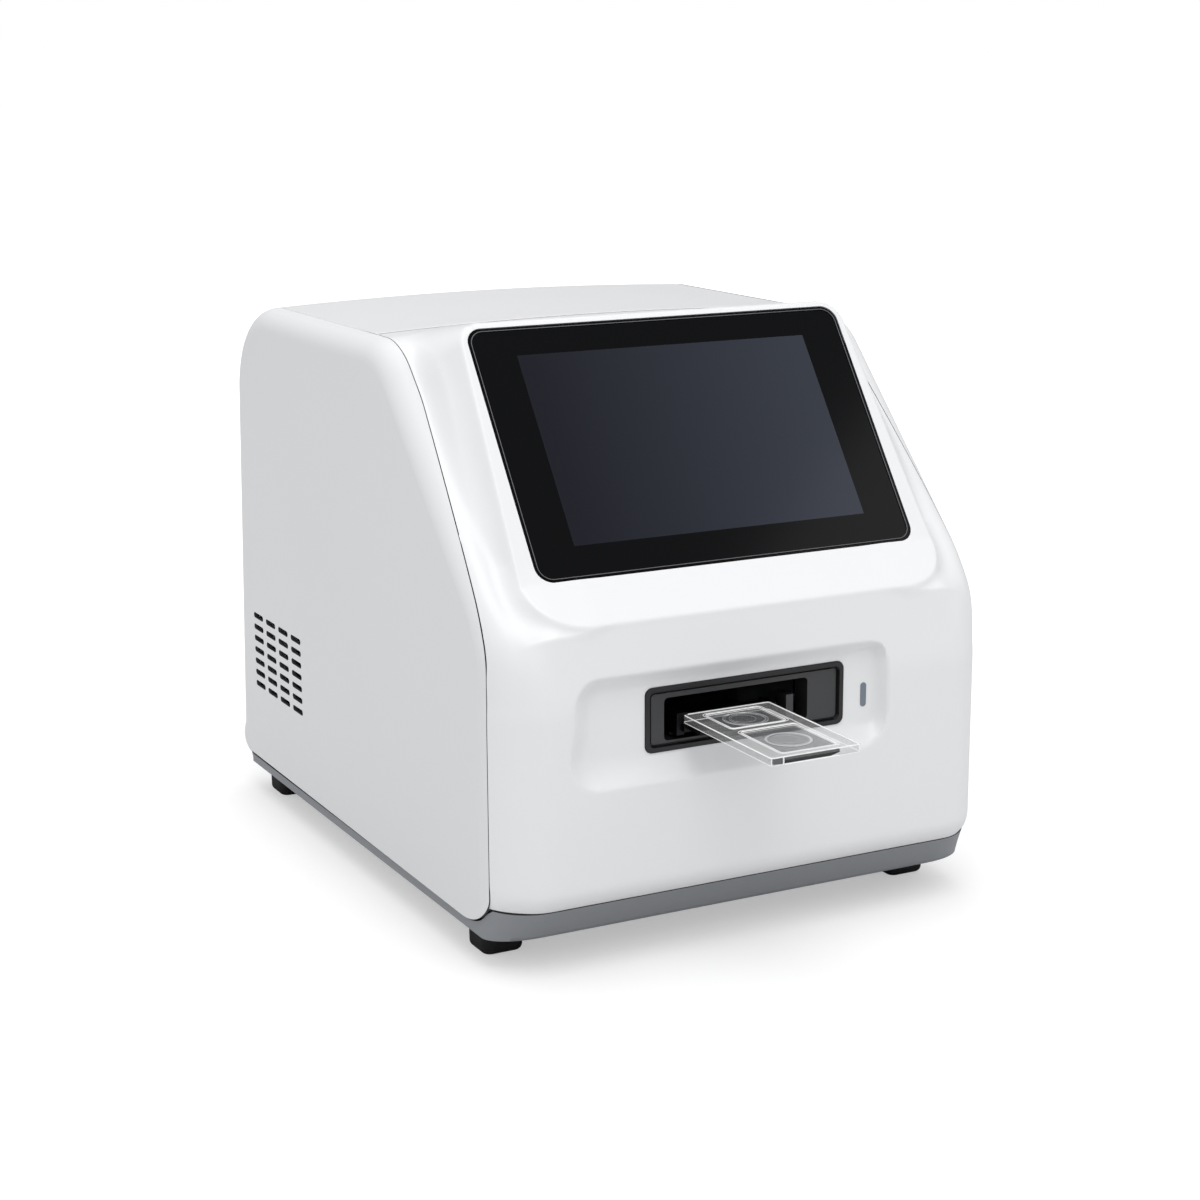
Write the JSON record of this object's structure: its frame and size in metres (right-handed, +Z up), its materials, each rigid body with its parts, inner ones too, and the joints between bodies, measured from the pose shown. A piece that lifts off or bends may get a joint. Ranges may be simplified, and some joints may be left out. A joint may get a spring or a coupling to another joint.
{
  "type": "automated cell counter",
  "caption": "Bench cell counter with a sloping touch screen in a raised frame, a slot with a motor-driven carriage for a clear counting slide, side vents and rubber feet.",
  "frame": {"origin": "on the ground, in the middle of the object's outer box with the slide drawn out", "axes": "+Z up, the front with screen and slot faces -Y, +X to the right of a person who faces the front"},
  "size_m": [0.184, 0.2948, 0.1988],
  "materials": {
    "fascia_plastic": "satin",
    "panel_plastic": "fine matt",
    "tray_plastic": "fine matt",
    "cover_glass": "polished",
    "display_black": "glossy",
    "steel_sheet": "zinc plated",
    "screw_steel": "black zinc",
    "circuit_board": "solder mask",
    "component_black": "matt",
    "bezel_plastic": "satin",
    "light_pipe": "translucent",
    "clear_plastic": "polished",
    "strip_grey": "matt",
    "anodised_black": "black anodised",
    "brass_nut": "turned",
    "ground_steel": "ground",
    "cast_aluminium": "milled",
    "motor_black": "satin",
    "chrome_barrel": "polished",
    "port_steel": "tinned",
    "inlet_black": "satin",
    "rocker_black": "satin",
    "fan_black": "matt",
    "foot_rubber": "matt"
  },
  "bodies": {
    "housing": {"base_tray": "tray_plastic", "front_fascia": "fascia_plastic", "left_side_panel": "panel_plastic", "right_side_panel": "panel_plastic", "top_cover": "fascia_plastic", "rear_panel": "panel_plastic", "screen_glass": "cover_glass", "display_module": "display_black", "display_bracket": "steel_sheet", "display_screws": "screw_steel", "main_board": "circuit_board", "main_board_parts": "component_black", "slot_bezel": "bezel_plastic", "status_light": "light_pipe", "guide_rods": "ground_steel", "stage_frame": "cast_aluminium", "carriage_motor": "motor_black", "lamp_module": "anodised_black", "optics_column": "cast_aluminium", "focus_rail": "ground_steel", "focus_motor": "motor_black", "chassis_plate": "steel_sheet", "power_board": "circuit_board", "power_board_parts": "component_black", "io_board": "circuit_board", "usb_port": "port_steel", "ethernet_port": "port_steel", "power_inlet": "inlet_black", "switch_housing": "inlet_black", "fan_frame": "fan_black", "fan_screws": "screw_steel", "case_screws": "screw_steel", "foot_front_left": "foot_rubber", "foot_front_right": "foot_rubber", "foot_rear_left": "foot_rubber", "foot_rear_right": "foot_rubber"},
    "carriage": {"slide_carriage": "anodised_black", "lead_nut": "brass_nut", "counting_slide": "clear_plastic", "slide_strip": "strip_grey"},
    "lead_screw": {"lead_screw": "ground_steel"},
    "focus": {"focus_carriage": "anodised_black", "objective": "chrome_barrel", "camera_module": "component_black"},
    "focus_screw": {"focus_screw": "ground_steel"},
    "rocker": {"switch_rocker": "rocker_black"},
    "fan_rotor": {"fan_rotor": "fan_black"}
  },
  "joints": [
    {"name": "carriage_slide", "type": "slide", "parent": "housing", "child": "carriage", "axis": [0, 1, 0], "range_m": [0, 0.068]},
    {"name": "lead_screw_turn", "type": "hinge", "parent": "housing", "child": "lead_screw", "pos_m": [0.0036, -0.03924, 0.059], "axis": [0, 1, 0], "range_deg": [-5, 6130]},
    {"name": "focus_slide", "type": "slide", "parent": "housing", "child": "focus", "axis": [0, 0, 1], "range_m": [-0.002, 0.002]},
    {"name": "focus_screw_turn", "type": "hinge", "parent": "housing", "child": "focus_screw", "pos_m": [0.0466, -0.05524, 0.069], "axis": [0, 0, 1], "range_deg": [-725, 725]},
    {"name": "rocker_tilt", "type": "hinge", "parent": "housing", "child": "rocker", "pos_m": [-0.02, 0.14259, 0.0418], "axis": [0, -0.0576, 0.9983], "range_deg": [-14, 0]},
    {"name": "fan_spin", "type": "hinge", "parent": "housing", "child": "fan_rotor", "pos_m": [0, 0.141, 0.11283], "axis": [0, 0.9983, 0.0576], "continuous": true}
  ],
  "couplings": [
    {"joint": "lead_screw_turn", "follows": "carriage_slide", "rad_per_m": 1570.8},
    {"joint": "focus_screw_turn", "follows": "focus_slide", "rad_per_m": 6283.2}
  ]
}
